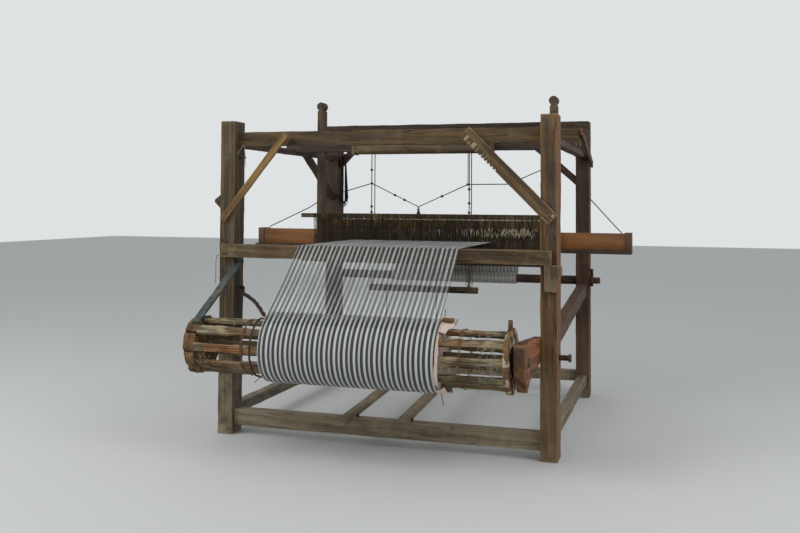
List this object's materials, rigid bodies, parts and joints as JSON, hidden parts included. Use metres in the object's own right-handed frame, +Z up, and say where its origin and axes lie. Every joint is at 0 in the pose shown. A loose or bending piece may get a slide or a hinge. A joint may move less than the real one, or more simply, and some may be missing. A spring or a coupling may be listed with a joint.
{
  "type": "frame handloom",
  "caption": "Wooden frame handloom with a slatted warp beam, swinging sley with shuttle boxes, string heddles, treadles and a striped warp under tension.",
  "frame": {"origin": "middle of the loom's footprint at floor level, under the middle of the sley", "axes": "+X along the sley to the right as seen from the warp beam, +Y along the warp towards the weaver, +Z up"},
  "size_m": [2.7, 2.4878, 2.125],
  "materials": {
    "old_wood": "weathered, rough",
    "dark_wood": "weathered, dark",
    "light_wood": "bare, dry",
    "orange_wood": "worn varnish",
    "iron": "rusty",
    "yarn": "matte cotton",
    "string": "matte twine",
    "rope": "matte rope",
    "lath": "painted, worn"
  },
  "bodies": {
    "frame": {"post_near_left": "old_wood", "post_near_right": "old_wood", "post_far_left": "dark_wood", "post_far_right": "dark_wood", "top_beam_near": "old_wood", "top_plate_far": "dark_wood", "side_rails": "dark_wood", "bottom_rail_near": "old_wood", "bottom_rail_far": "dark_wood", "bottom_side_rails": "old_wood", "right_mid_rail": "dark_wood", "knee_brace_left": "light_wood", "knee_brace_right": "old_wood", "far_braces": "dark_wood", "keeper_batten": "dark_wood", "back_rest_rail": "old_wood", "rest_block": "dark_wood", "breast_rail": "old_wood", "beam_arm_left": "dark_wood", "beam_arm_right": "orange_wood", "rocker_bearings": "old_wood", "harness_bar": "dark_wood", "roller_cheeks": "old_wood", "nails_and_pegs": "iron", "treadle_hinges": "iron", "warp_threads": "yarn", "cloth": "yarn", "brake_rope": "rope", "hung_hank": "rope"},
    "warp_beam": {"beam_axle": "old_wood", "beam_disc_left": "old_wood", "beam_disc_right": "orange_wood", "beam_slats": "light_wood", "warp_roll": "yarn", "beam_sticks": "dark_wood"},
    "sley": {"rocking_beam": "dark_wood", "swords": "old_wood", "sley_cap": "orange_wood", "race_board": "orange_wood", "reed": "iron", "shuttle_box_left": "orange_wood", "shuttle_box_right": "orange_wood", "sley_irons": "iron", "picking_cords": "rope", "picking_handle": "dark_wood"},
    "shuttle": {"shuttle": "light_wood"},
    "picker_left": {"picker_left": "orange_wood"},
    "picker_right": {"picker_right": "orange_wood"},
    "heddle_roller": {"heddle_roller": "light_wood"},
    "shaft_near": {"heddle_bars_near": "old_wood", "heddle_strings_near": "string"},
    "shaft_far": {"heddle_bars_far": "old_wood", "heddle_strings_far": "string"},
    "treadle_left": {"treadle_left": "light_wood"},
    "treadle_right": {"treadle_right": "light_wood"},
    "cloth_beam": {"cloth_beam": "dark_wood", "cloth_roll": "yarn", "ratchet_wheel": "iron"},
    "pawl": {"pawl": "iron"},
    "brake_lever": {"brake_lever": "lath"}
  },
  "joints": [
    {"name": "warp_beam_spin", "type": "hinge", "parent": "frame", "child": "warp_beam", "pos_m": [0, -1.0629, 0.6], "axis": [1, 0, 0], "continuous": true},
    {"name": "sley_swing", "type": "hinge", "parent": "frame", "child": "sley", "pos_m": [0, 0.5271, 1.84], "axis": [1, 0, 0], "range_deg": [-14, 9]},
    {"name": "shuttle_flight", "type": "slide", "parent": "sley", "child": "shuttle", "axis": [1, 0, 0], "range_m": [-2.0285, 0]},
    {"name": "picker_left_slide", "type": "slide", "parent": "sley", "child": "picker_left", "axis": [1, 0, 0], "range_m": [0, 0.1]},
    {"name": "picker_right_slide", "type": "slide", "parent": "sley", "child": "picker_right", "axis": [1, 0, 0], "range_m": [-0.1, 0]},
    {"name": "treadle_left_press", "type": "hinge", "parent": "frame", "child": "treadle_left", "pos_m": [-0.178, -0.6119, 0.1645], "axis": [1, 0, 0], "range_deg": [-2.9, 2.9]},
    {"name": "treadle_right_press", "type": "hinge", "parent": "frame", "child": "treadle_right", "pos_m": [0.152, -0.6119, 0.1645], "axis": [1, 0, 0], "range_deg": [-2.7, 2.7]},
    {"name": "shaft_near_lift", "type": "slide", "parent": "frame", "child": "shaft_near", "axis": [0, 0, 1], "range_m": [-0.04, 0.04]},
    {"name": "shaft_far_lift", "type": "slide", "parent": "frame", "child": "shaft_far", "axis": [0, 0, 1], "range_m": [-0.04, 0.04]},
    {"name": "roller_turn", "type": "hinge", "parent": "frame", "child": "heddle_roller", "pos_m": [0, 0.2071, 1.756], "axis": [1, 0, 0], "range_deg": [-70, 70]},
    {"name": "cloth_beam_spin", "type": "hinge", "parent": "frame", "child": "cloth_beam", "pos_m": [0, 1.1346, 0.84], "axis": [1, 0, 0], "continuous": true},
    {"name": "pawl_lift", "type": "hinge", "parent": "frame", "child": "pawl", "pos_m": [1.026, 1.1006, 0.918], "axis": [1, 0, 0], "range_deg": [0, 60]},
    {"name": "brake_lift", "type": "hinge", "parent": "frame", "child": "brake_lever", "pos_m": [-0.901, -0.6509, 1.03], "axis": [1, 0, 0], "range_deg": [-35, 0]}
  ],
  "couplings": [
    {"joint": "treadle_right_press", "follows": "treadle_left_press", "ratio": -0.92299},
    {"joint": "shaft_near_lift", "follows": "treadle_left_press", "m_per_rad": 0.7862},
    {"joint": "shaft_far_lift", "follows": "treadle_left_press", "m_per_rad": -0.7862},
    {"joint": "roller_turn", "follows": "treadle_left_press", "ratio": -23.97}
  ]
}
